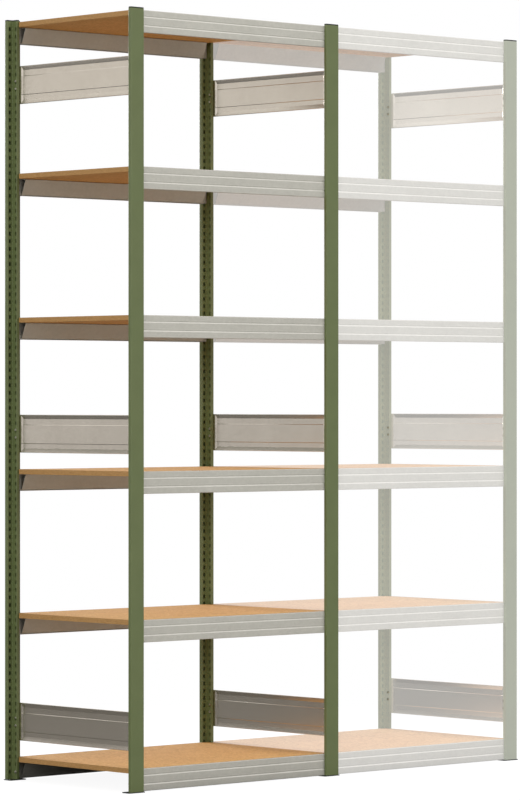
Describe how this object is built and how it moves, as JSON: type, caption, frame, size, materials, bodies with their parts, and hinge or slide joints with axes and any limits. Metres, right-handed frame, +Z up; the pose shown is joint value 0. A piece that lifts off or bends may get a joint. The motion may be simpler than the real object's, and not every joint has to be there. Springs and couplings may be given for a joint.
{
  "type": "wide span shelving unit",
  "caption": "Free-standing boltless wide span shelving: coated T-section posts, roll-formed step beams, loose chipboard shelves and wide sheet depth struts, in joined bays.",
  "frame": {"origin": "on the floor under the middle of the unit", "axes": "+Z up, the front towards -Y, +X to the right seen from the front"},
  "size_m": [1.792, 0.636, 2.5073],
  "materials": {
    "green_powder_coat": "satin powder coat",
    "pale_green_powder_coat": "satin powder coat",
    "galvanised_steel": "galvanised sheet, satin",
    "pale_galvanised_steel": "galvanised sheet, light satin",
    "chipboard": "raw chipboard, fine chips",
    "pale_chipboard": "raw chipboard, bleached",
    "zinc_plated_steel": "zinc plated"
  },
  "bodies": {
    "shelving_frame": {"post_left_front": "green_powder_coat", "foot_plate_left_front": "zinc_plated_steel", "post_left_rear": "green_powder_coat", "foot_plate_left_rear": "zinc_plated_steel", "depth_strut_left_lower": "galvanised_steel", "depth_strut_left_middle": "galvanised_steel", "depth_strut_left_upper": "galvanised_steel", "post_middle_front": "green_powder_coat", "foot_plate_middle_front": "zinc_plated_steel", "post_middle_rear": "green_powder_coat", "foot_plate_middle_rear": "zinc_plated_steel", "depth_strut_middle_lower": "galvanised_steel", "depth_strut_middle_middle": "galvanised_steel", "depth_strut_middle_upper": "galvanised_steel", "post_right_front": "pale_green_powder_coat", "foot_plate_right_front": "zinc_plated_steel", "post_right_rear": "pale_green_powder_coat", "foot_plate_right_rear": "zinc_plated_steel", "depth_strut_right_lower": "pale_galvanised_steel", "depth_strut_right_middle": "pale_galvanised_steel", "depth_strut_right_upper": "pale_galvanised_steel", "front_beam_left_1": "galvanised_steel", "rear_beam_left_1": "galvanised_steel", "front_beam_left_2": "galvanised_steel", "rear_beam_left_2": "galvanised_steel", "front_beam_left_3": "galvanised_steel", "rear_beam_left_3": "galvanised_steel", "front_beam_left_4": "galvanised_steel", "rear_beam_left_4": "galvanised_steel", "front_beam_left_5": "galvanised_steel", "rear_beam_left_5": "galvanised_steel", "front_beam_left_6": "galvanised_steel", "rear_beam_left_6": "galvanised_steel", "front_beam_right_1": "pale_galvanised_steel", "rear_beam_right_1": "pale_galvanised_steel", "front_beam_right_2": "pale_galvanised_steel", "rear_beam_right_2": "pale_galvanised_steel", "front_beam_right_3": "pale_galvanised_steel", "rear_beam_right_3": "pale_galvanised_steel", "front_beam_right_4": "pale_galvanised_steel", "rear_beam_right_4": "pale_galvanised_steel", "front_beam_right_5": "pale_galvanised_steel", "rear_beam_right_5": "pale_galvanised_steel", "front_beam_right_6": "pale_galvanised_steel", "rear_beam_right_6": "pale_galvanised_steel"},
    "board_left_1": {"shelf_board_left_1": "chipboard"},
    "board_left_2": {"shelf_board_left_2": "chipboard"},
    "board_left_3": {"shelf_board_left_3": "chipboard"},
    "board_left_4": {"shelf_board_left_4": "chipboard"},
    "board_left_5": {"shelf_board_left_5": "chipboard"},
    "board_left_6": {"shelf_board_left_6": "chipboard"},
    "board_right_1": {"shelf_board_right_1": "pale_chipboard"},
    "board_right_2": {"shelf_board_right_2": "pale_chipboard"},
    "board_right_3": {"shelf_board_right_3": "pale_chipboard"},
    "board_right_4": {"shelf_board_right_4": "pale_chipboard"},
    "board_right_5": {"shelf_board_right_5": "pale_chipboard"},
    "board_right_6": {"shelf_board_right_6": "pale_chipboard"}
  },
  "joints": [
    {"name": "lift_board_left_1", "type": "slide", "parent": "shelving_frame", "child": "board_left_1", "axis": [0, 0, 1], "range_m": [0, 0.04]},
    {"name": "lift_board_left_2", "type": "slide", "parent": "shelving_frame", "child": "board_left_2", "axis": [0, 0, 1], "range_m": [0, 0.04]},
    {"name": "lift_board_left_3", "type": "slide", "parent": "shelving_frame", "child": "board_left_3", "axis": [0, 0, 1], "range_m": [0, 0.04]},
    {"name": "lift_board_left_4", "type": "slide", "parent": "shelving_frame", "child": "board_left_4", "axis": [0, 0, 1], "range_m": [0, 0.04]},
    {"name": "lift_board_left_5", "type": "slide", "parent": "shelving_frame", "child": "board_left_5", "axis": [0, 0, 1], "range_m": [0, 0.04]},
    {"name": "lift_board_left_6", "type": "slide", "parent": "shelving_frame", "child": "board_left_6", "axis": [0, 0, 1], "range_m": [0, 0.04]},
    {"name": "lift_board_right_1", "type": "slide", "parent": "shelving_frame", "child": "board_right_1", "axis": [0, 0, 1], "range_m": [0, 0.04]},
    {"name": "lift_board_right_2", "type": "slide", "parent": "shelving_frame", "child": "board_right_2", "axis": [0, 0, 1], "range_m": [0, 0.04]},
    {"name": "lift_board_right_3", "type": "slide", "parent": "shelving_frame", "child": "board_right_3", "axis": [0, 0, 1], "range_m": [0, 0.04]},
    {"name": "lift_board_right_4", "type": "slide", "parent": "shelving_frame", "child": "board_right_4", "axis": [0, 0, 1], "range_m": [0, 0.04]},
    {"name": "lift_board_right_5", "type": "slide", "parent": "shelving_frame", "child": "board_right_5", "axis": [0, 0, 1], "range_m": [0, 0.04]},
    {"name": "lift_board_right_6", "type": "slide", "parent": "shelving_frame", "child": "board_right_6", "axis": [0, 0, 1], "range_m": [0, 0.04]}
  ]
}
